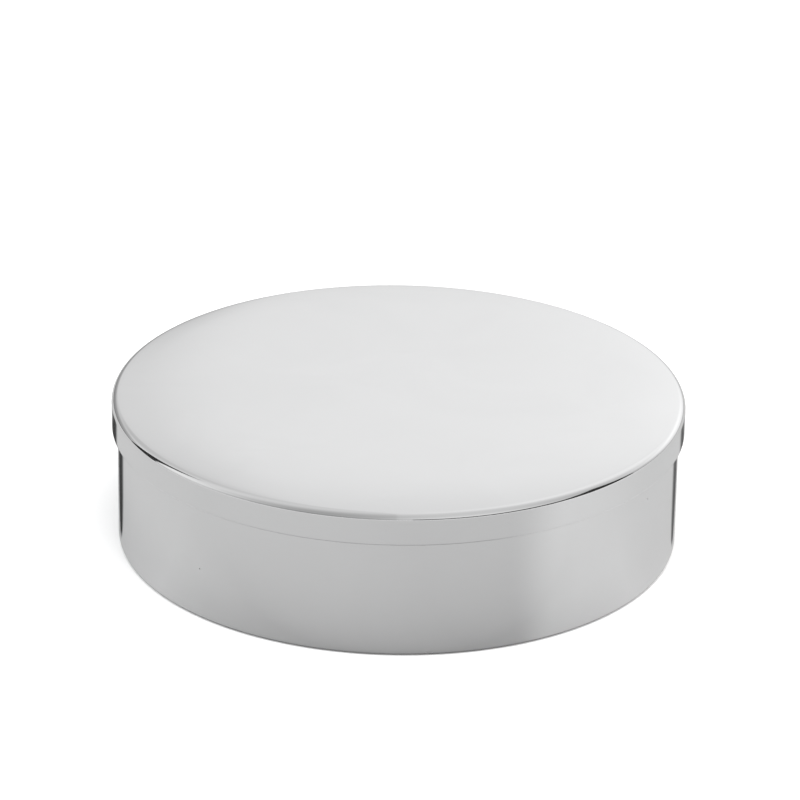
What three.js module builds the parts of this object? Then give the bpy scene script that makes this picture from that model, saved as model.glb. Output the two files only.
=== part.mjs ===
import * as THREE from 'three';

// A shallow round candle tin: a deep-drawn body, a slip-over lid, and the poured candle inside.
// Millimetres, +Z up. The origin is the centre of the ring that the base stands on.

// Tin, driving sizes
const LID_DIAMETER = 84; // over the skirt
const OVERALL_HEIGHT = 22.5; // base ring to the middle of the crowned lid
const SKIRT_HEIGHT = 4.8; // lid's edge plane down to the skirt's rolled edge
const SHEET = 0.25; // tinplate gauge
const LID_CROWN = 0.25; // rise of the lid's middle above its edge plane
const LID_SHOULDER = 1.0; // outside radius where the lid's top turns into its skirt
const LID_CURL = 0.72; // outside size of the skirt's rolled edge
const LID_CURL_SWEEP = 260; // degrees of roll
const BODY_CURL = 1.4; // outside size of the body's rolled rim
const BODY_CURL_SWEEP = 290; // degrees of roll
const BASE_CORNER = 0.8; // outside radius where the base turns into the wall
const BASE_RING = 2.6; // width of the flat ring that the tin stands on
const PANEL_RISE = 0.4; // the base's middle panel above the ring
const PANEL_STEP = 1.0; // run of the slope from the ring up to the panel

// Candle, driving sizes
const WAX_HEADSPACE = 6.9; // rim down to the wax
const WAX_MENISCUS = 0.4; // how far the wax climbs the wall
const MENISCUS_WIDTH = 2.5;
const WAX_AT_WICK = 0.25; // how far the wax climbs the wick
const WICK_COLLAR_WIDTH = 1.2; // run of that climb
const WICK_DIAMETER = 2.0;
const SUSTAINER_DIAMETER = 20;
const SUSTAINER_SHEET = 0.3;
const NECK_HEIGHT = 6; // from under the sustainer's disc to the top of its neck
const NECK_WALL = 0.35;
const NECK_FILLET = 0.5; // where the disc is drawn up into the neck
const STICKER_DIAMETER = 18;
const STICKER_THICKNESS = 0.5;

// Clearances
const LID_RUNNING_CLEARANCE = 0.12; // radial, skirt's rolled edge to the body's wall
const LID_SEAT_GAP = 0.05; // lid's ceiling to the rim it rests on
const CONTACT_GAP = 0.05; // between the stacked pieces on the floor
const WICK_CLEARANCE = 0.05; // radial, wick in the sustainer's neck
const WICK_LID_CLEARANCE = 1.3; // wick's tip to the lid's ceiling
const WAX_GAP = 0.12; // round everything that the wax is poured against

// Facets
const TIN_SIDES = 48;
const SMALL_SIDES = 24;
const CROWN_STEPS = 4;

// Places that follow from the sizes
const LID_RADIUS = LID_DIAMETER / 2;
const EDGE_PLANE = OVERALL_HEIGHT - LID_CROWN;
const SKIRT_BOTTOM = EDGE_PLANE - SKIRT_HEIGHT;
const LID_CEILING = OVERALL_HEIGHT - SHEET;
const BODY_RADIUS = LID_RADIUS - LID_CURL - LID_RUNNING_CLEARANCE;
const RIM_TOP = EDGE_PLANE - SHEET - LID_SEAT_GAP;
const RING_INNER = BODY_RADIUS - BASE_CORNER - BASE_RING;
const PANEL_RADIUS = RING_INNER - PANEL_STEP;
const FLOOR = PANEL_RISE + SHEET;
const STICKER_BOTTOM = FLOOR + CONTACT_GAP;
const SUSTAINER_BOTTOM = STICKER_BOTTOM + STICKER_THICKNESS + CONTACT_GAP;
const DISC_TOP = SUSTAINER_BOTTOM + SUSTAINER_SHEET;
const NECK_TOP = SUSTAINER_BOTTOM + NECK_HEIGHT;
const WAX_LEVEL = RIM_TOP - WAX_HEADSPACE;
const WICK_RADIUS = WICK_DIAMETER / 2;
const WICK_TIP = LID_CEILING - WICK_LID_CLEARANCE;
const NECK_BORE = WICK_RADIUS + WICK_CLEARANCE;
const NECK_RADIUS = NECK_BORE + NECK_WALL;

const tinplate = new THREE.MeshStandardMaterial({ color: 0xd8d9da, roughness: 0.1, metalness: 1 });
const wax = new THREE.MeshStandardMaterial({ color: 0xf3ead8, roughness: 0.45, metalness: 0 });
const cotton = new THREE.MeshStandardMaterial({ color: 0xf1ede2, roughness: 0.9, metalness: 0 });
const zincSteel = new THREE.MeshStandardMaterial({ color: 0xb4b7ba, roughness: 0.3, metalness: 1 });
const foam = new THREE.MeshStandardMaterial({ color: 0xf4f4f0, roughness: 0.85, metalness: 0 });

// Points [radius, height] of an arc about a centre, between two angles in degrees from outwards.
function arc(centreRadius, centreHeight, radius, fromDegrees, toDegrees, steps) {
  const points = [];
  for (let i = 0; i <= steps; i += 1) {
    const angle = THREE.MathUtils.degToRad(fromDegrees + ((toDegrees - fromDegrees) * i) / steps);
    points.push([centreRadius + radius * Math.cos(angle), centreHeight + radius * Math.sin(angle)]);
  }
  return points;
}

// The lid's crown is a parabola from the axis out to the shoulder, at a height over its edge plane.
function crown(baseHeight) {
  const edge = LID_RADIUS - LID_SHOULDER;
  const points = [];
  for (let i = 0; i <= CROWN_STEPS; i += 1) {
    const share = i / CROWN_STEPS;
    points.push([edge * share, baseHeight + LID_CROWN * (1 - share * share)]);
  }
  return points;
}

// Turns a profile of [radius, height] points about +Z. The profile runs anticlockwise round the metal.
function turned(profile, sides) {
  const points = profile.map(([radius, height]) => new THREE.Vector2(radius, height));
  return new THREE.LatheGeometry(points, sides).rotateX(Math.PI / 2);
}

function piece(name, geometry, material) {
  const mesh = new THREE.Mesh(geometry, material);
  mesh.name = name;
  return mesh;
}

// Drawn cup: raised base panel, standing ring, small corner, straight wall and an inward rolled rim.
function tinBody() {
  const roll = BODY_CURL / 2;
  const rollCentre = [BODY_RADIUS - roll, RIM_TOP - roll];
  const cornerCentre = [BODY_RADIUS - BASE_CORNER, BASE_CORNER];
  return turned([
    [0, PANEL_RISE],
    [PANEL_RADIUS, PANEL_RISE],
    [RING_INNER, 0],
    ...arc(...cornerCentre, BASE_CORNER, -90, 0, 4),
    ...arc(...rollCentre, roll, 0, BODY_CURL_SWEEP, 9),
    ...arc(...rollCentre, roll - SHEET, BODY_CURL_SWEEP, 0, 7),
    ...arc(...cornerCentre, BASE_CORNER - SHEET, 0, -90, 3),
    [RING_INNER, SHEET],
    [PANEL_RADIUS, FLOOR],
    [0, FLOOR],
  ], TIN_SIDES);
}

// Drawn lid: crowned top, soft shoulder, and a short skirt rolled inwards at its edge.
function tinLid() {
  const roll = LID_CURL / 2;
  const rollCentre = [LID_RADIUS - roll, SKIRT_BOTTOM + roll];
  const shoulderCentre = [LID_RADIUS - LID_SHOULDER, EDGE_PLANE - LID_SHOULDER];
  return turned([
    ...crown(EDGE_PLANE - SHEET),
    ...arc(...shoulderCentre, LID_SHOULDER - SHEET, 90, 0, 4).slice(1),
    ...arc(...rollCentre, roll - SHEET, 0, -LID_CURL_SWEEP, 4),
    ...arc(...rollCentre, roll, -LID_CURL_SWEEP, 0, 7),
    ...arc(...shoulderCentre, LID_SHOULDER, 0, 90, 4),
    ...crown(EDGE_PLANE).reverse().slice(1),
  ], TIN_SIDES);
}

// Poured wax: fills the body to its level, round the sustainer, its neck and the wick.
function waxFill() {
  const wall = BODY_RADIUS - SHEET - WAX_GAP;
  const corner = BASE_CORNER - SHEET - WAX_GAP;
  const cornerCentre = [BODY_RADIUS - BASE_CORNER, BASE_CORNER];
  const wickHole = WICK_RADIUS + WAX_GAP;
  const neckHole = NECK_RADIUS + WAX_GAP;
  const discHole = SUSTAINER_DIAMETER / 2 + WAX_GAP;
  const neckFoot = DISC_TOP + NECK_FILLET + WAX_GAP;
  return turned([
    [discHole, FLOOR + WAX_GAP],
    [PANEL_RADIUS, FLOOR + WAX_GAP],
    [RING_INNER, SHEET + WAX_GAP],
    ...arc(...cornerCentre, corner, -90, 0, 3),
    [wall, WAX_LEVEL + WAX_MENISCUS],
    [wall - MENISCUS_WIDTH / 3, WAX_LEVEL + WAX_MENISCUS / 4],
    [wall - MENISCUS_WIDTH, WAX_LEVEL],
    [wickHole + WICK_COLLAR_WIDTH, WAX_LEVEL],
    [wickHole, WAX_LEVEL + WAX_AT_WICK],
    [wickHole, NECK_TOP + WAX_GAP],
    [neckHole, NECK_TOP + WAX_GAP],
    [neckHole, neckFoot],
    [neckHole + NECK_FILLET, DISC_TOP + WAX_GAP],
    [discHole, DISC_TOP + WAX_GAP],
    [discHole, FLOOR + WAX_GAP],
  ], TIN_SIDES);
}

// Braided cotton, from the sustainer's underside up to just below the lid.
function wick() {
  const foot = SUSTAINER_BOTTOM + CONTACT_GAP;
  return turned([
    [0, foot],
    [WICK_RADIUS, foot],
    [WICK_RADIUS, WICK_TIP],
    [0, WICK_TIP],
  ], SMALL_SIDES);
}

// Pressed disc whose middle is drawn up into a neck that grips the wick.
function wickSustainer() {
  const rim = SUSTAINER_DIAMETER / 2;
  const foot = [NECK_RADIUS + NECK_FILLET, DISC_TOP + NECK_FILLET];
  return turned([
    [NECK_BORE, SUSTAINER_BOTTOM],
    [rim, SUSTAINER_BOTTOM],
    [rim, DISC_TOP],
    ...arc(...foot, NECK_FILLET, 270, 180, 3),
    [NECK_RADIUS, NECK_TOP],
    [NECK_BORE, NECK_TOP],
    [NECK_BORE, SUSTAINER_BOTTOM],
  ], SMALL_SIDES);
}

// Double-sided foam dot that holds the sustainer to the floor.
function wickSticker() {
  const rim = STICKER_DIAMETER / 2;
  const top = STICKER_BOTTOM + STICKER_THICKNESS;
  return turned([
    [0, STICKER_BOTTOM],
    [rim, STICKER_BOTTOM],
    [rim, top],
    [0, top],
  ], SMALL_SIDES);
}

const candleTin = new THREE.Group();
candleTin.add(
  piece('tin_body', tinBody(), tinplate),
  piece('tin_lid', tinLid(), tinplate),
  piece('wax_fill', waxFill(), wax),
  piece('wick', wick(), cotton),
  piece('wick_sustainer', wickSustainer(), zincSteel),
  piece('wick_sticker', wickSticker(), foam),
);

export default candleTin;
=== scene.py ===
import math

import bpy
import numpy as np
from bpy.props import FloatProperty, FloatVectorProperty, IntProperty, PointerProperty
from mathutils import Matrix, Vector


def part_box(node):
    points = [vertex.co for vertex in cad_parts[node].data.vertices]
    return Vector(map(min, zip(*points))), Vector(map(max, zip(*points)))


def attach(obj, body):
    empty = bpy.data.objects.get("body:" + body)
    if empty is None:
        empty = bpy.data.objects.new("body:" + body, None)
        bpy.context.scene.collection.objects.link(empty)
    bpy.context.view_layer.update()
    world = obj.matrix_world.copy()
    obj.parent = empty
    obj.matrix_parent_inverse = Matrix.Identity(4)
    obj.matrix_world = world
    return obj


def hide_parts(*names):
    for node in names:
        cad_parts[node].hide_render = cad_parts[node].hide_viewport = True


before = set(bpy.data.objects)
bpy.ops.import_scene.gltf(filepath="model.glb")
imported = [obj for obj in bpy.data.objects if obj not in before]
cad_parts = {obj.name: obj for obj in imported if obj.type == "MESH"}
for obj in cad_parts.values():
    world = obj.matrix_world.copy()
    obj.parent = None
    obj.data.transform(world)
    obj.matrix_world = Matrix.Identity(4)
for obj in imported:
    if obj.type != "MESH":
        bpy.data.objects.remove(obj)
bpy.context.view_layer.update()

bl_info = {
    "name": "Candle Tin",
    "version": (1, 0, 0),
    "blender": (4, 5, 0),
    "location": "View3D > Sidebar > Candle Tin",
    "description": "Makes a drawn slip-lid candle tin with its wax, wick and sustainer",
    "category": "Add Mesh",
}

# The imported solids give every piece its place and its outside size, in metres.
BODY_LOW, BODY_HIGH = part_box("tin_body")
LID_LOW, LID_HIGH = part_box("tin_lid")
WAX_LOW, WAX_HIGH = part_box("wax_fill")
WICK_LOW, WICK_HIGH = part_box("wick")
DISC_LOW, DISC_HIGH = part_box("wick_sustainer")
DOT_LOW, DOT_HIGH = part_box("wick_sticker")
TIN_FRAME_BODY = "tin"
LID_FRAME_BODY = "lid"

MM = 0.001
FULL_TURN = 2 * math.pi

# Clearances and details that the solids don't give.
WAX_WALL_GAP = 0.03 * MM
WAX_CORNER_GAP = 0.1 * MM
NECK_GAP = 0.1 * MM
WICK_CLEARANCE = 0.05 * MM
DISC_RIB_HEIGHT, DISC_RIB_RADIUS, DISC_RIB_WIDTH = 0.22 * MM, 7 * MM, 0.7 * MM
DISC_RIB_ROOM = 0.3 * MM

# The stage, in metres, and the camera, whose lengths are in lid radii and whose turns in degrees.
FLOOR_RADIUS, SWEEP_BEND, SWEEP_TOP = 1.3, 0.9, 2.6
MIRRORED_RADIUS, MIRRORED_HEIGHT = 3.0, 0.03 * MM
FLAG_DISTANCE = 1.1
ROUND_STEPS = 128
CAMERA_ELEVATION, CAMERA_ROLL, CAMERA_LENS = 23.85, 0.9, 202.0
CAMERA_AIM_X, CAMERA_AIM_Z, CAMERA_DISTANCE = 0.0047, 0.5015, 15.66


# Settings.

def length(name, description, default):
    """A length setting in metres."""
    return FloatProperty(
        name=name, description=description, default=default, min=0, precision=5,
        unit="LENGTH", subtype="DISTANCE")


def angle(name, description, default):
    """An angle setting, given in degrees."""
    return FloatProperty(
        name=name, description=description, default=math.radians(default), subtype="ANGLE",
        unit="ROTATION")


def colour(name, description, default):
    """A colour setting."""
    return FloatVectorProperty(
        name=name, description=description, default=default, size=3, min=0, max=1,
        subtype="COLOR")


class CandleTinShape(bpy.types.PropertyGroup):
    """Sizes of the sheet metal, the rolls and the drawn corners."""
    sheet: length("Sheet", "Gauge of the tinplate", 0.25 * MM)
    lid_crown: length("Lid crown", "Rise of the lid's middle over its edge", 0.25 * MM)
    crown_power: FloatProperty(
        name="Crown power", description="How late towards the edge the crown falls away",
        default=9.0, min=2)
    lid_shoulder: length("Lid shoulder", "Radius from the lid's top to its skirt", 1.0 * MM)
    lid_roll: length("Lid roll", "Outside size of the skirt's rolled edge", 0.72 * MM)
    lid_roll_turn: angle("Lid roll turn", "How far round the skirt's edge is rolled", 260)
    body_roll: length("Body roll", "Outside size of the body's rolled rim", 1.4 * MM)
    body_roll_turn: angle("Body roll turn", "How far round the body's rim is rolled", 290)
    base_corner: length("Base corner", "Radius from the base to the wall", 0.8 * MM)
    base_ring: length("Base ring", "Width of the ring that the tin stands on", 2.6 * MM)
    panel_rise: length("Panel rise", "Height of the base's middle panel", 0.4 * MM)
    panel_step: length("Panel step", "Width of the slope up to that panel", 1.0 * MM)
    hand_wave: length("Hand wave", "Height of the drawn sheet's slow waves", 0.012 * MM)
    sides: IntProperty(name="Sides", description="Steps round the tin", default=300, min=24)


class CandleTinFill(bpy.types.PropertyGroup):
    """Sizes of the wax, the braid and the sustainer."""
    meniscus: length("Meniscus", "How far the wax climbs the wall", 0.4 * MM)
    meniscus_width: length("Meniscus width", "Width of that climb", 2.5 * MM)
    wick_collar: length("Wick collar", "How far the wax climbs the wick", 0.25 * MM)
    wick_collar_width: length("Collar width", "Width of that climb", 1.2 * MM)
    surface_wave: length("Surface wave", "Height of the waves on the set wax", 0.05 * MM)
    braid_pitch: length("Braid pitch", "Height in which a yarn goes once round", 6.2 * MM)
    braid_yarns: IntProperty(name="Yarns", description="Yarns each way round", default=4, min=2)
    wick_lean: length("Wick lean", "How far the wick's tip leans over", 0.5 * MM)
    disc_sheet: length("Disc sheet", "Gauge of the sustainer", 0.3 * MM)
    neck_wall: length("Neck wall", "Wall of the sustainer's neck", 0.35 * MM)
    neck_fillet: length("Neck fillet", "Radius from the disc to the neck", 0.5 * MM)


class CandleTinFinish(bpy.types.PropertyGroup):
    """Colours and gloss of the finishes."""
    tinplate: colour("Tinplate", "Bright tinplate's reflection", (0.88, 0.882, 0.886))
    tin_gloss: FloatProperty(
        name="Polish", description="Roughness of the polished outside", default=0.055,
        min=0, max=1, subtype="FACTOR")
    wax: colour("Wax", "Poured wax", (0.64, 0.58, 0.465))
    cotton: colour("Cotton", "Waxed cotton", (0.72, 0.69, 0.61))
    zinc: colour("Zinc", "Zinc-plated steel", (0.62, 0.63, 0.65))
    foam: colour("Foam", "Adhesive foam", (0.62, 0.62, 0.60))
    floor: colour("Floor", "Pale floor", (0.86, 0.86, 0.86))


class CandleTinSettings(bpy.types.PropertyGroup):
    """All the settings of the candle tin."""
    shape: PointerProperty(type=CandleTinShape)
    fill: PointerProperty(type=CandleTinFill)
    finish: PointerProperty(type=CandleTinFinish)


# Profiles and surfaces.

def straight(start, end, step):
    """Points from start towards end, about one step apart: start + (end - start) * share."""
    start, end = np.array(start, float), np.array(end, float)
    count = max(1, round(float(np.linalg.norm(end - start)) / step))
    share = np.arange(count + 1)[:, None] / count
    return start + (end - start) * share


def arc(centre, radius, turn_from, turn_to, count):
    """Points centre + radius * (cos a, sin a), for angles a spread evenly between two turns."""
    angle = np.linspace(turn_from, turn_to, count + 1)
    return np.array(centre) + radius * np.stack([np.cos(angle), np.sin(angle)], axis=1)


def eased(start, end, count):
    """Points whose radius goes evenly from start to end and whose height follows 3u^2 - 2u^3."""
    share = np.linspace(0, 1, count + 1)
    ease = share * share * (3 - 2 * share)
    start, end = np.array(start, float), np.array(end, float)
    return start + (end - start) * np.stack([share, ease], axis=1)


def round_end(start, end, count):
    """Half a circle from start to end, on the right of the way between them: a sheet's cut edge."""
    start, end = np.array(start, float), np.array(end, float)
    middle, half = (start + end) / 2, (start - end) / 2
    out = np.array([-half[1], half[0]])
    angle = np.linspace(0, math.pi, count + 1)[:, None]
    return middle + half * np.cos(angle) + out * np.sin(angle)


def joined(*runs):
    """One profile from several runs of points, leaving out a point that repeats the one before."""
    points = np.concatenate(runs)
    apart = np.linalg.norm(np.diff(points, axis=0), axis=1) > 1e-7
    return points[np.concatenate([[True], apart])]


def mesh_object(name, vertices, quads, triangles=None, slots=None):
    """An object at the origin whose smooth mesh has these corner points, quads and triangles."""
    triangles = np.zeros((0, 3), int) if triangles is None else triangles
    corners = np.concatenate([quads.ravel(), triangles.ravel()]).astype(np.int32)
    starts = np.concatenate([
        np.arange(len(quads)) * 4,
        len(quads) * 4 + np.arange(len(triangles)) * 3]).astype(np.int32)
    mesh = bpy.data.meshes.new(name)
    mesh.vertices.add(len(vertices))
    mesh.vertices.foreach_set("co", np.asarray(vertices, np.float32).ravel())
    mesh.loops.add(len(corners))
    mesh.loops.foreach_set("vertex_index", corners)
    mesh.polygons.add(len(starts))
    mesh.polygons.foreach_set("loop_start", starts)
    if slots is not None:
        mesh.polygons.foreach_set("material_index", np.asarray(slots, np.int32))
    mesh.polygons.foreach_set("use_smooth", np.ones(len(starts), bool))
    mesh.update(calc_edges=True)
    if mesh.validate():
        raise RuntimeError(f"{name} has faces that Blender had to mend")
    made = bpy.data.objects.new(name, mesh)
    bpy.context.scene.collection.objects.link(made)
    return made


def turned(name, profile, sides, shift=None, slot_of=None):
    """A surface of revolution. The profile's point (r, z) at the turn t lies at (r cos t, r sin t, z).

    The profile runs anticlockwise round the material. It starts and ends on the axis, where each end
    closes in a fan about one point, or it is a ring whose last point joins its first. shift(r, t, z)
    gives new (r, z) for every point, and slot_of(r, z) gives each band of faces its material slot.
    """
    on_axis = profile[0, 0] < 1e-9
    rings = profile[1:-1] if on_axis else profile
    turn = np.arange(sides) * FULL_TURN / sides
    radius, height = rings[:, :1] + 0 * turn, rings[:, 1:] + 0 * turn
    around = 0 * radius + turn
    if shift:
        radius, height = shift(radius, around, height)
    points = np.stack([radius * np.cos(around), radius * np.sin(around), height], axis=2)
    vertices = points.reshape(-1, 3)
    count = len(rings)
    row = np.arange(count - 1 if on_axis else count)[:, None]
    side, next_side = np.arange(sides), (np.arange(sides) + 1) % sides
    above = (row + 1) % count
    quads = np.stack([
        row * sides + side, row * sides + next_side,
        above * sides + next_side, above * sides + side], axis=2).reshape(-1, 4)
    slots = None
    if slot_of:
        middle = (rings[row[:, 0]] + rings[above[:, 0]]) / 2
        slots = np.repeat(slot_of(middle[:, 0], middle[:, 1]), sides)
    if not on_axis:
        return mesh_object(name, vertices, quads, slots=slots)
    first, last = len(vertices), len(vertices) + 1
    ends = np.array([[0, 0, points[0, :, 2].mean()], [0, 0, points[-1, :, 2].mean()]])
    ends[0, 2] += profile[0, 1] - rings[0, 1]
    ends[1, 2] += profile[-1, 1] - rings[-1, 1]
    top = (count - 1) * sides
    triangles = np.concatenate([
        np.stack([0 * side + first, next_side, side], axis=1),
        np.stack([0 * side + last, top + side, top + next_side], axis=1)])
    if slots is not None:
        caps = slot_of(profile[[0, -1], 0], profile[[0, -1], 1])
        slots = np.concatenate([slots, np.repeat(caps, sides)])
    return mesh_object(name, np.concatenate([vertices, ends]), quads, triangles, slots)


def carried(path, across, up, outline):
    """Outlines carried along paths. A point (a, b) of an outline lies at path + a * across + b * up.

    path, across and up are (strands, steps, 3); outline is (strands, steps, points, 2). Each strand
    is closed at both ends by a fan about the path's own point. Gives vertices, quads and triangles.
    """
    strands, steps, count = outline.shape[:3]
    points = (
        path[:, :, None] + outline[..., :1] * across[:, :, None] + outline[..., 1:] * up[:, :, None])
    strand = (np.arange(strands) * steps * count)[:, None, None]
    step = (np.arange(steps - 1) * count)[None, :, None]
    side = np.arange(count)[None, None, :]
    next_side = (side + 1) % count
    here = strand + step
    quads = np.stack([
        here + side, here + next_side, here + count + next_side, here + count + side], axis=3)
    vertices = points.reshape(-1, 3)
    centres = np.concatenate([path[:, 0], path[:, -1]])
    low = (len(vertices) + np.arange(strands))[:, None]
    high = low + strands
    foot, tip = strand[:, 0], strand[:, 0] + (steps - 1) * count
    side, next_side = side[0], next_side[0]
    triangles = np.concatenate([
        np.stack([low + 0 * side, foot + next_side, foot + side], axis=2).reshape(-1, 3),
        np.stack([high + 0 * side, tip + side, tip + next_side], axis=2).reshape(-1, 3)])
    return np.concatenate([vertices, centres]), quads.reshape(-1, 4), triangles


# Materials.

def node(tree, kind, inputs=None, **attributes):
    """Adds a shader node. An input given as another node's output is linked, and a value is set."""
    made = tree.nodes.new(kind)
    for name, value in attributes.items():
        setattr(made, name, value)
    for name, value in (inputs or {}).items():
        if isinstance(value, bpy.types.NodeSocket):
            tree.links.new(value, made.inputs[name])
        else:
            made.inputs[name].default_value = value
    return made


def placed(tree, scale=(1, 1, 1), turn=(0, 0, 0)):
    """The piece's own Object coordinates, scaled and turned."""
    where = node(tree, "ShaderNodeTexCoord").outputs["Object"]
    inputs = {"Vector": where, "Scale": scale, "Rotation": turn}
    return node(tree, "ShaderNodeMapping", inputs).outputs["Vector"]


def noise(tree, vector, scale, detail=2.0, rough=0.5, warp=0.0):
    """A soft noise from 0 to 1 with this many cycles in each unit of vector."""
    inputs = {
        "Vector": vector, "Scale": scale, "Detail": detail, "Roughness": rough, "Distortion": warp}
    return node(tree, "ShaderNodeTexNoise", inputs).outputs["Fac"]


def remap(tree, value, low, high, to_low, to_high, kind="LINEAR"):
    """value taken from the range low to high on to the range to_low to to_high."""
    inputs = {
        "Value": value, "From Min": low, "From Max": high, "To Min": to_low, "To Max": to_high}
    made = node(tree, "ShaderNodeMapRange", inputs, interpolation_type=kind)
    return made.outputs["Result"]


def maths(tree, operation, first, second=0.0):
    """One sum, product or other operation on two values."""
    return node(tree, "ShaderNodeMath", {0: first, 1: second}, operation=operation).outputs[0]


def product(tree, *values):
    """Several values multiplied together."""
    total = values[0]
    for value in values[1:]:
        total = maths(tree, "MULTIPLY", total, value)
    return total


def ramp(tree, value, *stops):
    """The colour that a value picks from a row of (place, colour) stops."""
    made = node(tree, "ShaderNodeValToRGB", {"Fac": value})
    band = made.color_ramp
    while len(band.elements) < len(stops):
        band.elements.new(0.5)
    for element, (place, rgb) in zip(band.elements, stops):
        element.position = place
        element.color = (*rgb, 1)
    return made.outputs["Color"]


def bump(tree, height, depth, normal=None):
    """A bumped normal: height from 0 to 1 stands for a depth in metres."""
    inputs = {"Height": height, "Distance": depth, "Strength": 1.0}
    if normal:
        inputs["Normal"] = normal
    return node(tree, "ShaderNodeBump", inputs).outputs["Normal"]


def shader(name, **constants):
    """A new material with a Principled shader, whose constants are set on its own sockets."""
    material = bpy.data.materials.new(name)
    material.use_nodes = True
    tree = material.node_tree
    tree.nodes.clear()
    surface = node(tree, "ShaderNodeBsdfPrincipled")
    for socket, value in constants.items():
        surface.inputs[socket.replace("_", " ")].default_value = value
    node(tree, "ShaderNodeOutputMaterial", {"Surface": surface.outputs["BSDF"]})
    return material, tree, surface


def feed(tree, surface, **links):
    """Links values to a shader's sockets."""
    for socket, value in links.items():
        tree.links.new(value, surface.inputs[socket.replace("_", " ")])


def tint(rgb, factor):
    """A colour made darker or lighter."""
    return tuple(min(1.0, part * factor) for part in rgb)


def hairlines(tree, along, turn, sparse):
    """Thin scratches along one direction: stretched noise, of which only the peaks are kept."""
    lines = noise(tree, placed(tree, (along, 3200, 3200), turn), 1.0, 1.0)
    return remap(tree, lines, sparse, sparse + 0.06, 0.0, 1.0)


def speck(tree, turn, height):
    """A speck 0.2 mm across on the body's wall, at a turn in degrees and a height: 1 inside it."""
    reach, angle = BODY_HIGH[0], math.radians(turn)
    place = (reach * math.cos(angle), reach * math.sin(angle), height)
    where = placed(tree)
    away = node(tree, "ShaderNodeVectorMath", {0: where, 1: place}, operation="DISTANCE")
    return remap(tree, away.outputs["Value"], 0.07 * MM, 0.13 * MM, 1.0, 0.0)


def polished_tinplate(finish):
    """Mirror-bright tinplate: faint smudges, sparse hairlines, two tiny specks, slow waves."""
    material, tree, surface = shader("polished_tinplate", Metallic=1.0)
    smudge = noise(tree, placed(tree), 55.0, 5.0, 0.6, 0.8)
    scratch = maths(
        tree, "MAXIMUM",
        hairlines(tree, 40, (0.2, 0.1, 0.5), 0.70), hairlines(tree, 55, (0.1, 0.3, 2.1), 0.71))
    pit = maths(tree, "MAXIMUM", speck(tree, -132.4, 7.9 * MM), speck(tree, -29.5, 15.2 * MM))
    rough = remap(tree, smudge, 0.4, 0.75, finish.tin_gloss, finish.tin_gloss + 0.03)
    rough = maths(tree, "ADD", rough, product(tree, scratch, 0.05))
    rough = maths(tree, "ADD", rough, product(tree, pit, 0.5))
    bright = ramp(
        tree, smudge, (0.35, finish.tinplate), (0.8, tint(finish.tinplate, 0.975)))
    dark = node(tree, "ShaderNodeMix", {0: pit, 6: bright, 7: (0.3, 0.3, 0.3, 1)},
                data_type="RGBA")
    slow = noise(tree, placed(tree), 38.0, 2.0)
    normal = bump(tree, slow, 0.006 * MM)
    peel = noise(tree, placed(tree), 1400.0, 2.0)
    normal = bump(tree, peel, 0.00012 * MM, normal)
    normal = bump(tree, maths(tree, "SUBTRACT", 1.0, scratch), 0.0002 * MM, normal)
    feed(tree, surface, Base_Color=dark.outputs[2], Roughness=rough, Normal=normal)
    return material


def drawn_tinplate(finish):
    """The tin's inside and underside: satin, with draw lines up the wall and rings on the flats."""
    material, tree, surface = shader("drawn_tinplate", Metallic=1.0)
    out = way_from_axis(tree)
    rings = node(tree, "ShaderNodeCombineXYZ", {"X": out})
    on_rings = noise(tree, rings.outputs[0], 1600.0, 2.0)
    up_wall = noise(tree, placed(tree, (1700, 1700, 25)), 1.0, 2.0)
    on_wall = remap(tree, out, 40.0 * MM, 40.5 * MM, 0.0, 1.0)
    lines = node(tree, "ShaderNodeMix", {0: on_wall, 2: on_rings, 3: up_wall}).outputs[0]
    cloud = noise(tree, placed(tree), 90.0, 4.0, 0.6)
    rough = remap(tree, cloud, 0.3, 0.8, 0.17, 0.28)
    rough = maths(tree, "ADD", rough, product(tree, lines, 0.05))
    shade = ramp(
        tree, cloud, (0.3, tint(finish.tinplate, 0.97)), (0.8, tint(finish.tinplate, 0.9)))
    feed(tree, surface, Base_Color=shade, Roughness=rough,
         Normal=bump(tree, lines, 0.001 * MM))
    return material


def poured_wax(finish):
    """Poured vegetable wax: light goes into it, the top is satin with faint frosting and pinholes."""
    material, tree, surface = shader(
        "poured_wax", IOR=1.44, Subsurface_Weight=0.45, Subsurface_Scale=0.004,
        Subsurface_Radius=(1.0, 0.75, 0.45), Specular_IOR_Level=0.45)
    cloud = noise(tree, placed(tree), 70.0, 6.0, 0.6, 0.6)
    shade = ramp(
        tree, cloud, (0.3, finish.wax), (0.55, tint(finish.wax, 1.03)),
        (0.75, tint(finish.wax, 1.08)))
    grain = noise(tree, placed(tree), 900.0, 4.0, 0.6)
    rough = remap(tree, cloud, 0.3, 0.75, 0.34, 0.55)
    cells = node(tree, "ShaderNodeTexVoronoi", {"Vector": placed(tree), "Scale": 240.0})
    chosen = node(tree, "ShaderNodeSeparateColor", {"Color": cells.outputs["Color"]})
    rare = remap(tree, chosen.outputs["Green"], 0.93, 0.94, 0.0, 1.0)
    hole = product(tree, rare, remap(tree, cells.outputs["Distance"], 0.04, 0.12, 1.0, 0.0))
    normal = bump(tree, cloud, 0.05 * MM)
    normal = bump(tree, grain, 0.006 * MM, normal)
    normal = bump(tree, maths(tree, "SUBTRACT", 1.0, hole), 0.12 * MM, normal)
    feed(tree, surface, Base_Color=shade, Roughness=rough, Normal=normal)
    return material


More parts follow.
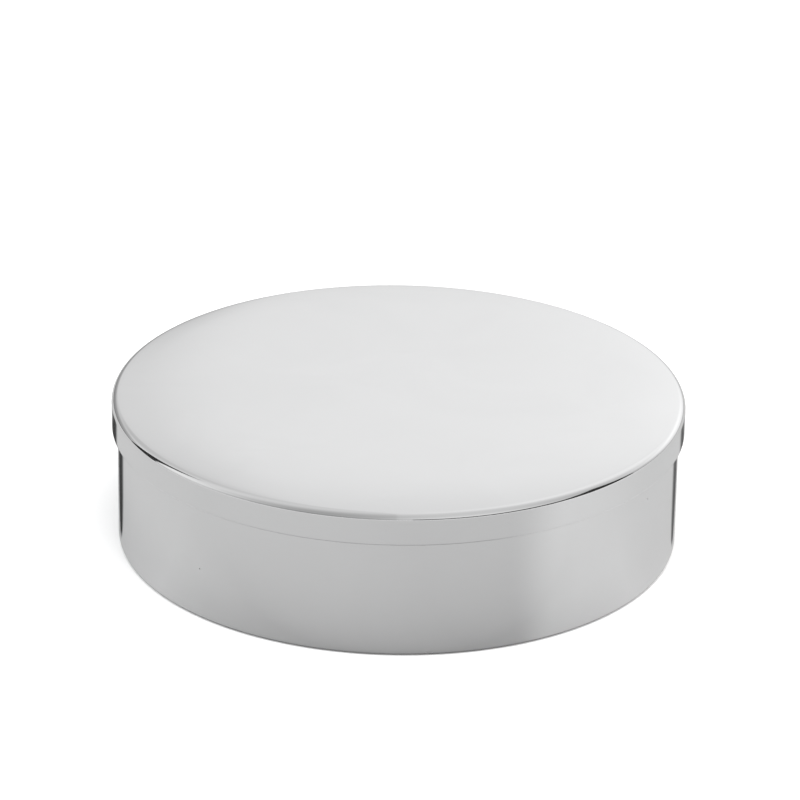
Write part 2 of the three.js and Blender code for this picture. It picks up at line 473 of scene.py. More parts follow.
def waxed_cotton(finish):
    """Cotton yarn primed with wax: fine fibres along the wick under a thin gloss."""
    material, tree, surface = shader(
        "waxed_cotton", Sheen_Weight=0.25, Sheen_Roughness=0.5, Subsurface_Weight=0.2,
        Subsurface_Scale=0.001)
    fibre = noise(tree, placed(tree, (9000, 9000, 1800)), 1.0, 3.0, 0.6)
    stain = noise(tree, placed(tree), 700.0, 3.0)
    shade = ramp(
        tree, stain, (0.3, tint(finish.cotton, 0.9)), (0.6, finish.cotton),
        (0.8, tint(finish.cotton, 1.1)))
    rough = remap(tree, fibre, 0.3, 0.7, 0.5, 0.8)
    feed(tree, surface, Base_Color=shade, Roughness=rough, Normal=bump(tree, fibre, 0.02 * MM))
    return material


def zinc_steel(finish):
    """Zinc-plated pressed steel: satin, with the faint grain of rolled sheet."""
    material, tree, surface = shader("zinc_steel", Metallic=1.0)
    grain = noise(tree, placed(tree, (300, 6000, 3000)), 1.0, 2.0)
    bloom = noise(tree, placed(tree), 450.0, 4.0, 0.6)
    shade = ramp(tree, bloom, (0.3, tint(finish.zinc, 0.88)), (0.7, tint(finish.zinc, 1.08)))
    rough = remap(tree, bloom, 0.3, 0.7, 0.26, 0.42)
    feed(tree, surface, Base_Color=shade, Roughness=rough, Normal=bump(tree, grain, 0.002 * MM))
    return material


def adhesive_foam(finish):
    """White closed-cell foam with an adhesive on both faces."""
    material, tree, surface = shader("adhesive_foam", Roughness=0.8, Subsurface_Weight=0.2,
                                     Subsurface_Scale=0.0008)
    cells = node(tree, "ShaderNodeTexVoronoi", {"Vector": placed(tree), "Scale": 3800.0})
    shade = ramp(
        tree, cells.outputs["Distance"], (0.1, tint(finish.foam, 0.9)), (0.6, finish.foam))
    feed(tree, surface, Base_Color=shade,
         Normal=bump(tree, cells.outputs["Distance"], 0.03 * MM))
    return material


# The tin.

def sheet_wave(shape):
    """The slow unevenness of drawn sheet, as shift for turned(): sums of a few cosines.

    The flats' heights move by wave * (r / R)^2 * cos(2t + 0.6) and the like. The wall's radii move
    by 0.6 * wave * (cos(3t + 0.4) * sin(170 z) + cos(5t - 0.8) / 2). Both faces move together.
    """
    reach = LID_HIGH[0]

    def shift(radius, around, height):
        share = radius / reach
        lift = share ** 2 * np.cos(2 * around + 0.6) + 0.5 * share ** 3 * np.cos(3 * around - 1.1)
        lift += 0.4 * share * np.cos(around + 2.0) * np.cos(9 * share)
        bulge = np.cos(3 * around + 0.4) * np.sin(height * 170) + 0.5 * np.cos(5 * around - 0.8)
        flat = np.clip((reach * 0.97 - radius) / (reach * 0.06), 0, 1) * np.clip(height / MM, 0, 1)
        wall = np.clip((radius / reach - 0.93) / 0.03, 0, 1)
        return radius + shape.hand_wave * 0.6 * bulge * wall, height + shape.hand_wave * lift * flat

    return shift


def body_profile(shape):
    """The drawn body: base panel, standing ring, corner, wall and inward rolled rim."""
    reach, rim, sheet = BODY_HIGH[0], BODY_HIGH[2], shape.sheet
    corner, roll = shape.base_corner, shape.body_roll / 2
    ring_inner = reach - corner - shape.base_ring
    panel = ring_inner - shape.panel_step
    floor = shape.panel_rise + sheet
    at_corner, at_roll = (reach - corner, corner), (reach - roll, rim - roll)
    outer_roll = arc(at_roll, roll, 0, shape.body_roll_turn, 40)
    inner_roll = arc(at_roll, roll - sheet, shape.body_roll_turn, 0, 30)
    return joined(
        straight((0, shape.panel_rise), (panel, shape.panel_rise), 2 * MM),
        eased((panel, shape.panel_rise), (ring_inner, 0), 10),
        straight((ring_inner, 0), (reach - corner, 0), 0.5 * MM),
        arc(at_corner, corner, -math.pi / 2, 0, 12),
        straight((reach, corner), (reach, rim - roll), 0.6 * MM),
        outer_roll,
        round_end(outer_roll[-1], inner_roll[0], 6),
        inner_roll,
        straight((reach - sheet, rim - roll), (reach - sheet, corner), 0.9 * MM),
        arc(at_corner, corner - sheet, 0, -math.pi / 2, 8),
        straight((reach - corner, sheet), (ring_inner, sheet), 0.8 * MM),
        eased((panel, floor), (ring_inner, sheet), 8)[::-1],
        straight((panel, floor), (0, floor), 2.5 * MM))


def lid_profile(shape):
    """The drawn lid: crowned top, soft shoulder, and a skirt rolled inwards at its lower edge."""
    reach, foot, sheet = LID_HIGH[0], LID_LOW[2], shape.sheet
    edge = LID_HIGH[2] - shape.lid_crown
    bend, roll = shape.lid_shoulder, shape.lid_roll / 2
    at_bend, at_roll = (reach - bend, edge - bend), (reach - roll, foot + roll)
    inner_roll = arc(at_roll, roll - sheet, 0, -shape.lid_roll_turn, 20)
    outer_roll = arc(at_roll, roll, -shape.lid_roll_turn, 0, 34)
    profile = joined(
        straight((0, edge - sheet), (reach - bend, edge - sheet), 1.5 * MM),
        arc(at_bend, bend - sheet, math.pi / 2, 0, 12),
        straight((reach - sheet, edge - bend), (reach - sheet, foot + roll), 0.5 * MM),
        inner_roll,
        round_end(inner_roll[-1], outer_roll[0], 6),
        outer_roll,
        straight((reach, foot + roll), (reach, edge - bend), 0.4 * MM),
        arc(at_bend, bend, 0, math.pi / 2, 24),
        straight((reach - bend, edge), (0, edge), 0.7 * MM))
    share = np.clip(profile[:, 0] / reach, 0, 1)
    profile[:, 1] += shape.lid_crown * (1 - share ** shape.crown_power)
    return profile


def dress(piece, slot, body, replaced, *materials):
    """Gives a piece its materials and the body it rides on, and hides the node it replaces. slot is not
    used.
    """
    for material in materials:
        piece.data.materials.append(material)
    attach(piece, body)
    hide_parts(replaced)


class CANDLETIN_OT_body(bpy.types.Operator):
    """Draws the tin's body with its rolled rim."""
    bl_idname = "candletin.body"
    bl_label = "Tin Body"

    def execute(self, context):
        settings = context.scene.candle_tin
        shape = settings.shape
        inner_wall = BODY_HIGH[0] - shape.sheet * 0.99
        rim = BODY_HIGH[2] - shape.body_roll

        def slot_of(radius, height):
            inside = (radius < inner_wall) & (height < rim)
            return np.where(inside | (height < shape.panel_rise * 1.2), 1, 0)

        body = turned("body_shell", body_profile(shape), shape.sides, sheet_wave(shape), slot_of)
        dress(body, "tinplate", TIN_FRAME_BODY, "tin_body",
              shared(polished_tinplate, settings.finish), shared(drawn_tinplate, settings.finish))
        return {"FINISHED"}


class CANDLETIN_OT_lid(bpy.types.Operator):
    """Draws the slip-over lid with its rolled skirt."""
    bl_idname = "candletin.lid"
    bl_label = "Slip Lid"

    def execute(self, context):
        settings = context.scene.candle_tin
        shape = settings.shape
        inner_wall = LID_HIGH[0] - shape.sheet * 0.99
        ceiling = LID_HIGH[2] - shape.lid_crown - shape.sheet / 2
        roll_top = LID_LOW[2] + shape.lid_roll

        def slot_of(radius, height):
            under = (radius < LID_HIGH[0] - shape.lid_shoulder) & (
                height < ceiling + shape.lid_crown * (1 - (radius / LID_HIGH[0]) ** shape.crown_power))
            behind = (radius < inner_wall) & (height > roll_top) & (height < ceiling - shape.sheet)
            return np.where((under & (height > roll_top)) | behind, 1, 0)

        lid = turned("lid_shell", lid_profile(shape), shape.sides, sheet_wave(shape), slot_of)
        dress(lid, "tinplate", LID_FRAME_BODY, "tin_lid",
              shared(polished_tinplate, settings.finish), shared(drawn_tinplate, settings.finish))
        return {"FINISHED"}


def shared(make, finish):
    """The material that make builds, built once and used again."""
    return bpy.data.materials.get(make.__name__) or make(finish)


# The candle.

class CANDLETIN_OT_wax(bpy.types.Operator):
    """Pours the wax round the wick and its sustainer."""
    bl_idname = "candletin.wax"
    bl_label = "Poured Wax"

    def execute(self, context):
        settings = context.scene.candle_tin
        shape, fill = settings.shape, settings.fill
        wall = BODY_HIGH[0] - shape.sheet - WAX_WALL_GAP
        level = WAX_HIGH[2] - fill.meniscus
        corner = shape.base_corner - shape.sheet - WAX_CORNER_GAP
        ring_inner = BODY_HIGH[0] - shape.base_corner - shape.base_ring
        panel = ring_inner - shape.panel_step
        under_gap = WAX_LOW[2] - shape.sheet
        floor = shape.panel_rise + shape.sheet + under_gap
        wick_hole = WICK_HIGH[0] * 0.96
        neck_hole = neck_radius(fill) + NECK_GAP
        disc_top = DISC_LOW[2] + fill.disc_sheet + DISC_RIB_ROOM
        disc_hole = DISC_HIGH[0] + NECK_GAP
        neck_top = DISC_HIGH[2] + NECK_GAP
        climb = np.linspace(0, 1, 17)[:, None]
        # The climb falls off with the fourth power of the way in from the wall, and with the third
        # power of the way out from the wick.
        at_wall = np.hstack([
            wall - fill.meniscus_width * climb, level + fill.meniscus * (1 - climb) ** 4])
        at_wick = np.hstack([
            wick_hole + fill.wick_collar_width * climb,
            level + fill.wick_collar * (1 - climb) ** 3])[::-1]
        profile = joined(
            straight((disc_hole, floor), (panel, floor), 2 * MM),
            eased((panel, floor), (ring_inner, WAX_LOW[2]), 6),
            arc((BODY_HIGH[0] - shape.base_corner, WAX_LOW[2] + corner), corner,
                -math.pi / 2, 0, 6),
            straight((wall, WAX_LOW[2] + corner), (wall, level + fill.meniscus), 1.2 * MM),
            at_wall,
            straight(at_wall[-1], at_wick[0], 0.5 * MM),
            at_wick,
            straight(at_wick[-1], (wick_hole, neck_top), 1 * MM),
            straight((wick_hole, neck_top), (neck_hole, neck_top), 0.4 * MM),
            straight((neck_hole, neck_top), (neck_hole, disc_top), 0.8 * MM),
            straight((neck_hole, disc_top), (disc_hole, disc_top), 1 * MM),
            straight((disc_hole, disc_top), (disc_hole, floor), 0.5 * MM))[:-1]

        def shift(radius, around, height):
            """The set top waves by cosines across it, and sinks round the wick as a bell curve."""
            x, y = radius * np.cos(around), radius * np.sin(around)
            wave = np.cos(160 * x + 60 * y + 0.5) + 0.8 * np.cos(210 * y - 90 * x + 1.3)
            wave += 0.5 * np.cos(420 * x - 300 * y) + 0.4 * np.cos(520 * y + 350 * x + 2.0)
            skin, margin = 0.3 * MM, 2 * MM
            top = np.clip((height - level + skin) / skin, 0, 1)
            sink = -0.25 * MM * np.exp(-((radius - 6 * MM) / (4 * MM)) ** 2)
            inner = np.clip((radius - wick_hole) / margin, 0, 1)
            outer = np.clip((wall - radius) / margin, 0, 1)
            return radius, height + (fill.surface_wave * wave + sink) * top * inner * outer

        wax = turned("poured_wax", profile, 240, shift)
        dress(wax, "wax", TIN_FRAME_BODY, "wax_fill", poured_wax(settings.finish))
        return {"FINISHED"}


def neck_radius(fill):
    """Outside radius of the sustainer's neck: the wick, its clearance and the neck's wall."""
    return WICK_HIGH[0] + WICK_CLEARANCE + fill.neck_wall


class CANDLETIN_OT_wick(bpy.types.Operator):
    """Braids the cotton wick and trims it."""
    bl_idname = "candletin.wick"
    bl_label = "Braided Wick"

    def execute(self, context):
        settings = context.scene.candle_tin
        fill = settings.fill
        reach, foot, tip = WICK_HIGH[0], WICK_LOW[2], WICK_HIGH[2]
        yarns, steps, core_steps, outline_points = fill.braid_yarns, 300, 60, 18
        height = np.linspace(foot, tip - 0.12 * MM, steps)
        turn = (height - foot) / fill.braid_pitch * FULL_TURN
        level = WAX_HIGH[2] - fill.meniscus

        def lean(z):
            """Sideways shift of the wick's middle: the square of the way from the wax to the tip."""
            share = np.clip((z - level) / (tip - level), 0, 1)
            return fill.wick_lean * share ** 2

        # A yarn going one way lies at middle + weave * cos(n t) and one going the other way at
        # middle - weave * cos(n t), so that each crosses over and under by turns.
        middle, weave = reach * 0.66, reach * 0.16
        way = np.repeat([1.0, -1.0], yarns)[:, None]
        start = np.tile(np.arange(yarns) * FULL_TURN / yarns, 2)[:, None]
        around = way * turn + start
        radius = middle + way * weave * np.cos(yarns * turn)
        out = np.stack([np.cos(around), np.sin(around), 0 * around], axis=2)
        path = out * radius[..., None]
        path[..., 2] = height
        path[..., 0] += lean(height)
        along = np.gradient(path, axis=1)
        along /= np.linalg.norm(along, axis=2, keepdims=True)
        across = np.cross(along, out)
        across /= np.linalg.norm(across, axis=2, keepdims=True)
        up = np.cross(along, across)
        # A yarn's outline is an oval with three plies that twist along it, drawn in at its tip.
        angle = np.arange(outline_points) * FULL_TURN / outline_points
        plies = 1 + 0.13 * np.cos(3 * (angle - 5.0 * turn[:, None]))
        taper = np.clip((tip - height) / (0.35 * MM), 0.15, 1)[:, None] ** 0.5
        oval = np.stack([
            reach * 0.34 * np.cos(angle) * plies * taper,
            reach * 0.175 * np.sin(angle) * plies * taper], axis=2)
        outline = np.broadcast_to(oval, (2 * yarns, *oval.shape))
        yarn_parts = carried(path, across, up, outline)
        core_height = np.linspace(foot, tip - 0.3 * MM, core_steps)
        core_path = np.stack([lean(core_height), 0 * core_height, core_height], axis=1)[None]
        core_ring = np.stack([np.cos(angle), np.sin(angle)], axis=1) * reach * 0.5
        core_outline = np.broadcast_to(core_ring, (1, core_steps, outline_points, 2))
        sideways = np.broadcast_to([1.0, 0, 0], core_path.shape)
        forward = np.broadcast_to([0, 1.0, 0], core_path.shape)
        core_parts = carried(core_path, sideways, forward, core_outline)
        fibre_parts = loose_fibres(tip, lean(tip), reach)
        vertices, quads, triangles = gathered(yarn_parts, core_parts, fibre_parts)
        wick = mesh_object("braided_wick", vertices, quads, triangles)
        dress(wick, "cotton", TIN_FRAME_BODY, "wick", waxed_cotton(settings.finish))
        return {"FINISHED"}


def loose_fibres(tip, lean, reach):
    """Fine fibres that stand out of the cut end: each bends outwards with the square of its length."""
    draws = np.random.default_rng(4)
    count, steps, corners = 26, 8, 5
    turn = draws.uniform(0, FULL_TURN, count)[:, None]
    share = np.linspace(0, 1, steps)[None]
    start = draws.uniform(0.2, 0.75, count)[:, None] * reach
    spread = draws.uniform(0.1, 0.45, count)[:, None] * reach
    rise = draws.uniform(0.25, 0.5, count)[:, None] * MM
    out = start + spread * share ** 2
    height = tip - 0.38 * MM + rise * share
    path = np.stack([out * np.cos(turn) + lean, out * np.sin(turn), height], axis=2)
    across = np.stack([-np.sin(turn), np.cos(turn), 0 * turn], axis=2) + 0 * path
    up = np.stack([np.cos(turn), np.sin(turn), 0 * turn], axis=2) + 0 * path
    angle = -np.arange(corners) * FULL_TURN / corners
    ring = np.stack([np.cos(angle), np.sin(angle)], axis=1) * 0.018 * MM
    outline = ring[None, None] * (1 - 0.7 * share[..., None, None]) + np.zeros((count, 1, 1, 1))
    return carried(path, across, up, outline)


def gathered(*parts):
    """Several lots of vertices, quads and triangles as one lot, with their numbers moved on."""
    offset = np.cumsum([0] + [len(part[0]) for part in parts])
    return (
        np.concatenate([part[0] for part in parts]),
        np.concatenate([part[1] + first for part, first in zip(parts, offset)]),
        np.concatenate([part[2] + first for part, first in zip(parts, offset)]))


class CANDLETIN_OT_sustainer(bpy.types.Operator):
    """Presses the sustainer: a disc with a stiffening ring and a crimped neck."""
    bl_idname = "candletin.sustainer"
    bl_label = "Wick Sustainer"

    def execute(self, context):
        settings = context.scene.candle_tin
        fill = settings.fill
        low, top, reach = DISC_LOW[2], DISC_HIGH[2], DISC_HIGH[0]
        sheet, bend = fill.disc_sheet, fill.neck_fillet
        neck, bore = neck_radius(fill), neck_radius(fill) - fill.neck_wall
        edge, lip = sheet / 2, fill.neck_wall / 2
        profile = joined(
            arc((bore + bend, low + bend), bend, math.pi, math.pi * 1.5, 8),
            straight((bore + bend, low), (reach - edge, low), 0.25 * MM),
            arc((reach - edge, low + edge), edge, -math.pi / 2, math.pi / 2, 8),
            straight((reach - edge, low + sheet), (neck + bend, low + sheet), 0.25 * MM),
            arc((neck + bend, low + sheet + bend), bend, math.pi * 1.5, math.pi, 8),
            straight((neck, low + sheet + bend), (neck, top - lip), 0.15 * MM),
            arc((neck - lip, top - lip), lip, 0, math.pi, 8),
            straight((bore, top - lip), (bore, low + bend), 0.15 * MM))[:-1]

        def shift(radius, around, height):
            """Rings the disc with a pressed rib, and pinches the neck in four places, two thirds up."""
            rib = DISC_RIB_HEIGHT * np.exp(-((radius - DISC_RIB_RADIUS) / DISC_RIB_WIDTH) ** 2)
            way_up = (height - low) / (top - low)
            grip = np.exp(-((way_up - 0.66) / 0.14) ** 2) * (radius < neck + NECK_GAP)
            pinch = 0.5 + 0.5 * np.cos(4 * around)
            return radius * (1 - 0.13 * grip * pinch ** 3), height + rib

        disc = turned("sustainer_disc", profile, 144, shift)
        dress(disc, "zinc_steel", TIN_FRAME_BODY, "wick_sustainer", zinc_steel(settings.finish))
        return {"FINISHED"}


class CANDLETIN_OT_sticker(bpy.types.Operator):
    """Cuts the foam dot that holds the sustainer to the floor."""
    bl_idname = "candletin.sticker"
    bl_label = "Adhesive Dot"

    def execute(self, context):
        settings = context.scene.candle_tin
        low, top, reach = DOT_LOW[2], DOT_HIGH[2], DOT_HIGH[0]
        bulge = (top - low) / 2
        profile = joined(
            straight((0, low), (reach - bulge, low), 0.8 * MM),
            arc((reach - bulge, low + bulge), bulge, -math.pi / 2, math.pi / 2, 14),
            straight((reach - bulge, top), (0, top), 0.8 * MM))
        dot = turned("adhesive_dot", profile, 128)
        dress(dot, "foam", TIN_FRAME_BODY, "wick_sticker", adhesive_foam(settings.finish))
        return {"FINISHED"}


# The stage.

def stage_only(piece, material, **seen):
    """Gives a stage piece its material, and hides it from every kind of ray that isn't named as True.
    """
    piece.data.materials.append(material)
    for ray in ("camera", "diffuse", "glossy", "transmission", "volume_scatter", "shadow"):
        setattr(piece, f"visible_{ray}", seen.get(ray, False))


def pale_floor(finish):
    """The pale floor and backdrop: it glows a little as painted light, more so far from the lights."""
    material, tree, surface = shader(
        "pale_floor", Roughness=1.0, Specular_IOR_Level=0.0, Base_Color=(*finish.floor, 1),
        Emission_Color=(1, 1, 1, 1))
    feed(tree, surface, Emission_Strength=remap(
        tree, way_from_axis(tree), 0.3, 1.2, 0.14, 0.34, "SMOOTHSTEP"))
    return material


def way_from_axis(tree):
    """The distance from the tin's axis: the length of (x, y, 0)."""
    flat = placed(tree, (1, 1, 0))
    return node(tree, "ShaderNodeVectorMath", {0: flat}, operation="LENGTH").outputs["Value"]


def painted_mirrored_floor(finish):
    """The floor as the polished tin shows it, its colour painted with light and shade: greyer than
    the lit floor, and palest to the right as painted light.

    Its share of the floor's colour goes by the turn about a point just inside the tin's front. It
    is changed next to the tin, as 1 + amount * e^(-way out / 10 mm): painted shade next to the
    tin's front and painted light next to its sides and back. It is raised far from the lights, as
    painted light, and lowered in two streaks of painted shade.
    """
    material, tree, surface = shader("painted_mirrored_floor", Roughness=1.0, Specular_IOR_Level=0.0)
    where = placed(tree)
    parts = node(tree, "ShaderNodeSeparateXYZ", {"Vector": where})
    centre_x, centre_y = 12 * MM, -32 * MM
    across = maths(tree, "SUBTRACT", parts.outputs["X"], centre_x)
    ahead = maths(tree, "SUBTRACT", centre_y, parts.outputs["Y"])
    turn = maths(tree, "ARCTAN2", across, ahead)
    # Painted light: the floor is made paler to the right of the tin's front, and a little paler to its
    # left.
    rise = remap(tree, turn, 0.75, 1.30, 0.0, 0.12, "SMOOTHSTEP")
    fall = remap(tree, turn, 1.45, 2.1, 1.0, 0.55, "SMOOTHSTEP")
    left = remap(tree, turn, -2.0, -0.1, 0.066, 0.0)
    share = maths(tree, "ADD", product(tree, rise, fall), left)
    share = maths(tree, "ADD", share, 0.425)
    way = way_from_axis(tree)
    # Painted shade next to the tin's front and painted light next to its sides and back, fading over
    # about 10 mm from the wall.
    way_out = remap(tree, way, 0.0412, 0.1412, 0.0, -10.0)
    amount = remap(tree, parts.outputs["Y"], -0.041, -0.022, -0.3, 0.35)
    painted_shading_near_tin = product(tree, amount, maths(tree, "EXPONENT", way_out))
    # Painted light far from the lights, and two streaks of painted shade.
    share = product(
        tree, share, maths(tree, "ADD", painted_shading_near_tin, 1.0), remap(tree, way, 0.12, 0.5, 1.0, 1.45),
        dark_streak(tree, where, -1, 0.91, 0.47), dark_streak(tree, where, 1, 0.80, 0.42))
    feed(tree, surface, Base_Color=ramp(tree, share, (0.0, (0, 0, 0)), (1.0, finish.floor)))
    return material


def dark_streak(tree, where, side, depth, end):
    """A soft streak of painted shade beside the tin's back, where its wall's edge looks: 1 outside it.

    It lies between two turns from straight back, seen from the wall's outermost point: it comes in
    at 0.17 to 0.27 radians and goes out about the turn that end gives.
    """
    start = (side * BODY_HIGH[0], -6 * MM, 0)
    away = node(tree, "ShaderNodeVectorMath", {0: where, 1: start}, operation="SUBTRACT")
    parts = node(tree, "ShaderNodeSeparateXYZ", {"Vector": away.outputs[0]})
    aside = product(tree, parts.outputs["X"], side)
    turn = maths(tree, "ARCTAN2", aside, parts.outputs["Y"])
    begins = remap(tree, turn, 0.17, 0.27, 0.0, 1.0, "SMOOTHSTEP")
    ends = remap(tree, turn, end - 0.06, end + 0.06, 1.0, 0.0, "SMOOTHSTEP")
    fades = remap(tree, parts.outputs["Y"], 40 * MM, 56 * MM, depth, 0.0, "SMOOTHSTEP")
    starts = remap(tree, parts.outputs["Y"], 0.5 * MM, 4 * MM, 0.0, 1.0, "SMOOTHSTEP")
    return maths(tree, "SUBTRACT", 1.0, product(tree, begins, ends, fades, starts))


def disc_object(name, radius, height):
    """A flat disc: a ring of points at one radius about a middle point."""
    side = np.arange(ROUND_STEPS)
    turn = side * FULL_TURN / ROUND_STEPS
    rim = np.stack([radius * np.cos(turn), radius * np.sin(turn), 0 * turn + height], axis=1)
    fan = np.stack([side, (side + 1) % ROUND_STEPS, 0 * side + ROUND_STEPS], axis=1)
    return mesh_object(name, np.vstack([rim, [0, 0, height]]), np.zeros((0, 4), int), fan)


def sweep_object(name, radius, bend, top):
    """A backdrop turned about the axis: from the floor it bends up through a quarter circle."""
    profile = joined(
        arc((radius, bend), bend, -math.pi / 2, 0, 24),
        straight((radius + bend, bend), (radius + bend, top), 0.4))
    turn = np.linspace(0, FULL_TURN, ROUND_STEPS + 1)
    around, out = turn[None, :], profile[:, :1]
    points = np.stack([
        out * np.cos(around), out * np.sin(around), profile[:, 1:] + 0 * around], axis=2)
    return grid_object(name, points)


def flag_object(name, start, end, low, high):
    """A curved black flag between two turns about the axis, from a low to a high elevation.

    Point (u, v): turn start + (end - start) u, elevation low + (high(u) - low) v.
    """
    u, v = np.meshgrid(np.linspace(0, 1, 25), np.linspace(0, 1, 9), indexing="ij")
    turn = np.radians(start + (end - start) * u)
    rise = np.radians(low + (high[0] + (high[1] - high[0]) * u - low) * v)
    points = FLAG_DISTANCE * np.stack([np.cos(turn), np.sin(turn), np.tan(rise)], axis=2)
    return grid_object(name, points)


def grid_object(name, points):
    """A sheet of quads through a grid of points."""
    rows, columns = points.shape[:2]
    row, column = np.arange(rows - 1)[:, None] * columns, np.arange(columns - 1)
    here = row + column
    quads = np.stack([here, here + 1, here + 1 + columns, here + columns], axis=2).reshape(-1, 4)
    return mesh_object(name, points.reshape(-1, 3), quads)


def softbox(name, place, size, watts, warmth):
    """A square area light that faces the tin."""
    light = bpy.data.lights.new(name, "AREA")
    light.shape, light.size, light.energy, light.color = "SQUARE", size, watts, warmth
    lamp = bpy.data.objects.new(name, light)
    lamp.location = place
    aim = Vector((0, 0, BODY_HIGH[2] / 2)) - Vector(place)
    lamp.rotation_euler = aim.to_track_quat("-Z", "Y").to_euler()
    lamp.visible_glossy = False
    bpy.context.scene.collection.objects.link(lamp)


def tent_world():
    """The pale light tent round the tin: three soft panels, dimmer towards its hem on the floor.

    Its strength is 0.88 + 0.28 * sin(3 * compass) * (1 - z^2), where z is the height of the way
    looked and compass its turn from straight back. That is dimmed low down, overhead, to the front,
    at the hem, to the left of straight back, and in a dusk low at the back left.
    """
    world = bpy.data.worlds.new("light_tent")
    world.use_nodes = True
    tree = world.node_tree
    tree.nodes.clear()
    way = node(tree, "ShaderNodeTexCoord").outputs["Generated"]
    parts = node(tree, "ShaderNodeSeparateXYZ", {"Vector": way})
    compass = maths(tree, "ARCTAN2", parts.outputs["X"], parts.outputs["Y"])
    panels = maths(tree, "SINE", product(tree, compass, 3.0))
    up = parts.outputs["Z"]
    away_from_top = maths(tree, "SUBTRACT", 1.0, product(tree, up, up))
    panels = product(tree, panels, away_from_top, 0.28)
    low = remap(tree, up, 0.06, 0.42, 0.76, 1.0, "SMOOTHSTEP")
    high = remap(tree, up, 0.405, 0.50, 1.0, 0.88, "SMOOTHSTEP")
    left = remap(tree, compass, -0.085, -0.035, 0.91, 1.0, "SMOOTHSTEP")
    right = remap(tree, compass, 0.03, 0.09, 1.0, 1.03, "SMOOTHSTEP")
    dusk = product(
        tree, remap(tree, up, 0.26, 0.38, 0.30, 0.0, "SMOOTHSTEP"),
        remap(tree, compass, -0.09, -0.04, 1.0, 0.0, "SMOOTHSTEP"),
        remap(tree, compass, -1.3, -0.8, 0.0, 1.0, "SMOOTHSTEP"))
    front = remap(tree, parts.outputs["Y"], -0.7, 0.5, 0.70, 1.0, "SMOOTHSTEP")
    hem = product(
        tree, remap(tree, up, 0.03, 0.07, 1.0, 0.0, "SMOOTHSTEP"),
        remap(tree, parts.outputs["Y"], -0.5, 0.5, 0.0, 0.55, "SMOOTHSTEP"))
    glow = product(
        tree, maths(tree, "ADD", panels, 0.88), low, high, left, right, front,
        maths(tree, "SUBTRACT", 1.0, dusk), maths(tree, "SUBTRACT", 1.0, hem))
    background = node(tree, "ShaderNodeBackground", {"Color": (1, 1, 1, 1), "Strength": glow})
    node(tree, "ShaderNodeOutputWorld", {"Surface": background.outputs["Background"]})
    bpy.context.scene.world = world


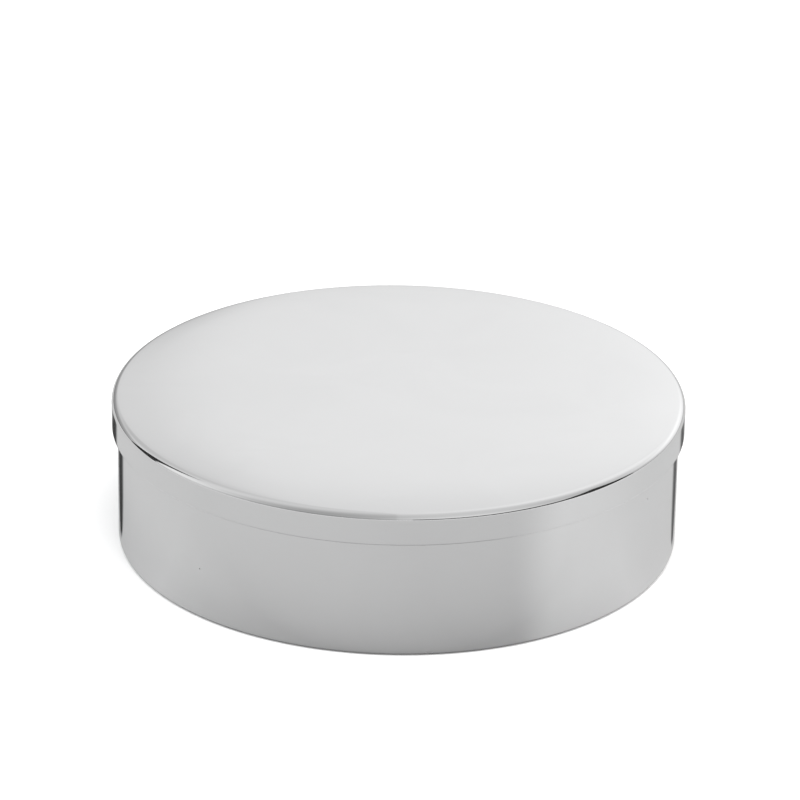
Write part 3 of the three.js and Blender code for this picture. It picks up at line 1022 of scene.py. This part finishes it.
class CANDLETIN_OT_stage(bpy.types.Operator):
    """Sets the pale floor, the soft lights and the camera."""
    bl_idname = "candletin.stage"
    bl_label = "Studio Stage"

    def execute(self, context):
        finish = context.scene.candle_tin.finish
        scene = context.scene
        scene.view_settings.view_transform = "Standard"
        tent_world()
        # The floor and backdrop glow a little: painted light.
        pale = pale_floor(finish)
        floor = disc_object("floor", FLOOR_RADIUS, 0)
        stage_only(floor, pale, camera=True, diffuse=True, shadow=True)
        sweep = sweep_object("sweep", FLOOR_RADIUS, SWEEP_BEND, SWEEP_TOP)
        stage_only(sweep, pale, camera=True)
        # A floor that only reflections see, its colour painted with light and shade.
        mirrored = disc_object("painted_mirrored_floor", MIRRORED_RADIUS, MIRRORED_HEIGHT)
        stage_only(mirrored, painted_mirrored_floor(finish), glossy=True)
        black = shader("black_flag", Roughness=1.0, Specular_IOR_Level=0.0,
                       Base_Color=(0.03, 0.03, 0.03, 1))[0]
        flags = [
            flag_object("flag_front", -84, -26, 3.0, (11.0, 14.0)),
            flag_object("flag_right", -26, -5, 3.0, (14.0, 30.0)),
            flag_object("flag_right_end", -5, 10, 3.0, (30.0, 8.0)),
            flag_object("flag_left", 148, 157, 0.5, (4.0, 42.0)),
            flag_object("flag_left_end", 157, 166, 0.5, (42.0, 48.0))]
        for flag in flags:
            stage_only(flag, black, glossy=True)
        softbox("key_light", (0.34, -0.34, 0.85), 0.9, 6.6, (1.0, 0.99, 0.98))
        softbox("fill_light", (-0.30, -0.38, 0.85), 0.9, 5.4, (0.98, 0.99, 1.0))
        self.set_camera(scene)
        return {"FINISHED"}

    @staticmethod
    def set_camera(scene):
        """A long lens from the front, about 24 degrees above the floor, rolled by a degree."""
        reach = LID_HIGH[0]
        elevation, roll = math.radians(CAMERA_ELEVATION), math.radians(CAMERA_ROLL)
        aim = Vector((CAMERA_AIM_X * reach, 0, CAMERA_AIM_Z * reach))
        back = Vector((0, -math.cos(elevation), math.sin(elevation)))
        right, up = Vector((1, 0, 0)), Vector((0, math.sin(elevation), math.cos(elevation)))
        rolled_right = right * math.cos(roll) + up * math.sin(roll)
        rolled_up = up * math.cos(roll) - right * math.sin(roll)
        lens = bpy.data.cameras.new("camera")
        lens.sensor_width, lens.lens = 36.0, CAMERA_LENS
        lens.clip_start, lens.clip_end = 0.01, 20.0
        camera = bpy.data.objects.new("camera", lens)
        axes = Matrix((rolled_right, rolled_up, back)).transposed().to_4x4()
        axes.translation = aim + back * (CAMERA_DISTANCE * reach)
        camera.matrix_world = axes
        scene.collection.objects.link(camera)
        scene.camera = camera


class CANDLETIN_PT_panel(bpy.types.Panel):
    """Lists the candle tin's settings and its pieces."""
    bl_idname = "CANDLETIN_PT_panel"
    bl_label = "Candle Tin"
    bl_space_type = "VIEW_3D"
    bl_region_type = "UI"
    bl_category = "Candle Tin"

    def draw(self, context):
        settings = context.scene.candle_tin
        for group in (settings.shape, settings.fill, settings.finish):
            box = self.layout.box()
            for name in type(group).__annotations__:
                box.prop(group, name)
        for operator in PIECES:
            self.layout.operator(operator.bl_idname)


PIECES = (
    CANDLETIN_OT_stage,
    CANDLETIN_OT_body,
    CANDLETIN_OT_lid,
    CANDLETIN_OT_wax,
    CANDLETIN_OT_wick,
    CANDLETIN_OT_sustainer,
    CANDLETIN_OT_sticker,
)
CLASSES = (
    CandleTinShape, CandleTinFill, CandleTinFinish, CandleTinSettings, *PIECES, CANDLETIN_PT_panel)


def register():
    """Registers the classes and adds the settings to the scene."""
    for cls in CLASSES:
        bpy.utils.register_class(cls)
    bpy.types.Scene.candle_tin = PointerProperty(type=CandleTinSettings)


def unregister():
    """Takes the settings and the classes away again."""
    del bpy.types.Scene.candle_tin
    for cls in reversed(CLASSES):
        bpy.utils.unregister_class(cls)


def main():
    """Makes the stage and every piece."""
    register()
    for operator in PIECES:
        group, name = operator.bl_idname.split(".")
        getattr(getattr(bpy.ops, group), name)()


if __name__ == "__main__":
    main()
